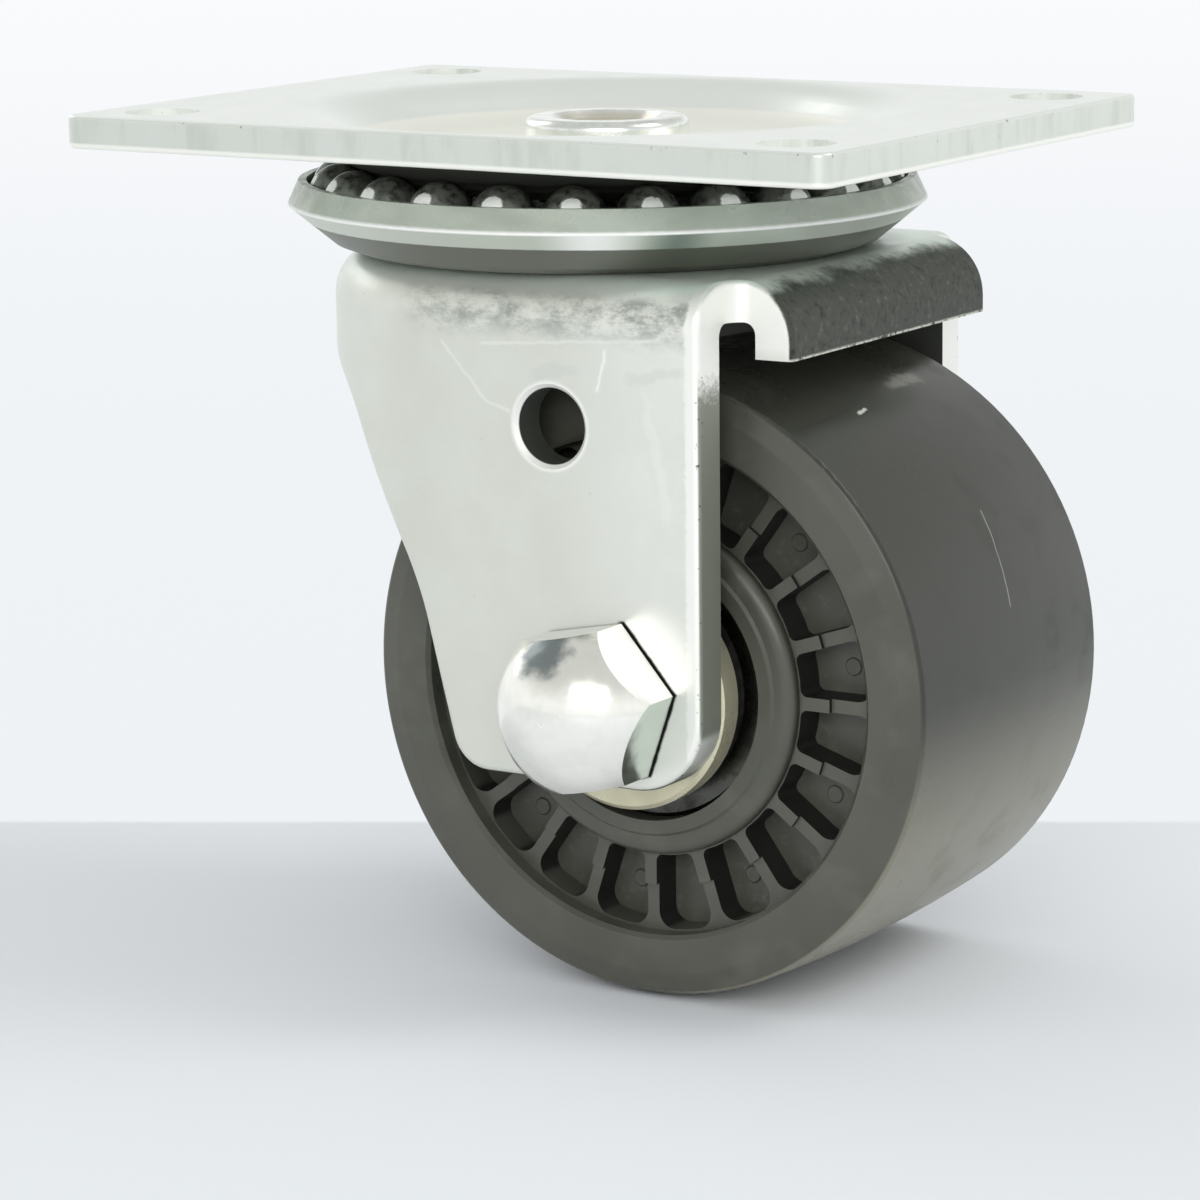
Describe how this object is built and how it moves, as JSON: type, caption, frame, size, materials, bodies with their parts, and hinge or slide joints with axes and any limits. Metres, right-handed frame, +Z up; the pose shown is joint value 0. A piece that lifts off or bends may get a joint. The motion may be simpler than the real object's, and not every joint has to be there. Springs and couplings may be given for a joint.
{
  "type": "swivel plate caster",
  "caption": "Low swivel plate caster with a dished steel plate, ball raceways, pressed fork and a wide moulded wheel with ribbed sides on sealed bearings.",
  "frame": {"origin": "on the swivel axis, at the top face of the plate, which is the centre of its bolt holes", "axes": "+Z up along the swivel axis out of the mounting face, +X along the plate's long side and towards the trailing wheel, Y along the axle with the cap nut on the -Y side"},
  "size_m": [0.1083, 0.0845, 0.104],
  "materials": {
    "plate_zinc": "zinc plated, satin",
    "kingpin_zinc": "zinc plated, bright",
    "race_zinc": "zinc plated, turned",
    "fork_zinc": "zinc plated, satin",
    "ball_steel": "polished, greased",
    "wheel_nylon": "moulded nylon, satin",
    "bearing_steel": "ground",
    "cage_steel": "pressed",
    "shield_rubber": "matt",
    "spacer_zinc": "yellow zinc plated",
    "bolt_zinc": "zinc plated",
    "nut_chrome": "polished"
  },
  "bodies": {
    "plate": {"top_plate": "plate_zinc", "kingpin": "kingpin_zinc", "lower_race": "race_zinc"},
    "fork": {"fork": "fork_zinc", "raceway_cup": "race_zinc", "axle_bolt": "bolt_zinc", "cap_nut": "nut_chrome", "spacer_near": "spacer_zinc", "spacer_far": "spacer_zinc", "spacer_tube": "spacer_zinc", "bearing_inner_near": "bearing_steel", "bearing_inner_far": "bearing_steel"},
    "wheel": {"wheel": "wheel_nylon", "bearing_outer_near": "bearing_steel", "bearing_outer_far": "bearing_steel", "bearing_shields_near": "shield_rubber", "bearing_shields_far": "shield_rubber"},
    "upper_ball_set": {"upper_balls": "ball_steel"},
    "lower_ball_set": {"lower_balls": "ball_steel"},
    "near_ball_set": {"bearing_balls_near": "ball_steel", "bearing_cage_near": "cage_steel"},
    "far_ball_set": {"bearing_balls_far": "ball_steel", "bearing_cage_far": "cage_steel"}
  },
  "joints": [
    {"name": "swivel", "type": "hinge", "parent": "plate", "child": "fork", "pos_m": [0, 0, 0], "axis": [0, 0, 1], "continuous": true},
    {"name": "wheel_spin", "type": "hinge", "parent": "fork", "child": "wheel", "pos_m": [0.018, 0, -0.066], "axis": [0, 1, 0], "continuous": true},
    {"name": "upper_ball_roll", "type": "hinge", "parent": "plate", "child": "upper_ball_set", "pos_m": [0, 0, 0], "axis": [0, 0, 1], "continuous": true},
    {"name": "lower_ball_roll", "type": "hinge", "parent": "plate", "child": "lower_ball_set", "pos_m": [0, 0, 0], "axis": [0, 0, 1], "continuous": true},
    {"name": "near_ball_roll", "type": "hinge", "parent": "fork", "child": "near_ball_set", "pos_m": [0.018, 0, -0.066], "axis": [0, 1, 0], "continuous": true},
    {"name": "far_ball_roll", "type": "hinge", "parent": "fork", "child": "far_ball_set", "pos_m": [0.018, 0, -0.066], "axis": [0, 1, 0], "continuous": true}
  ],
  "couplings": [
    {"joint": "upper_ball_roll", "follows": "swivel", "ratio": 0.5376},
    {"joint": "lower_ball_roll", "follows": "swivel", "ratio": 0.5},
    {"joint": "near_ball_roll", "follows": "wheel_spin", "ratio": 0.6338},
    {"joint": "far_ball_roll", "follows": "wheel_spin", "ratio": 0.6338}
  ]
}
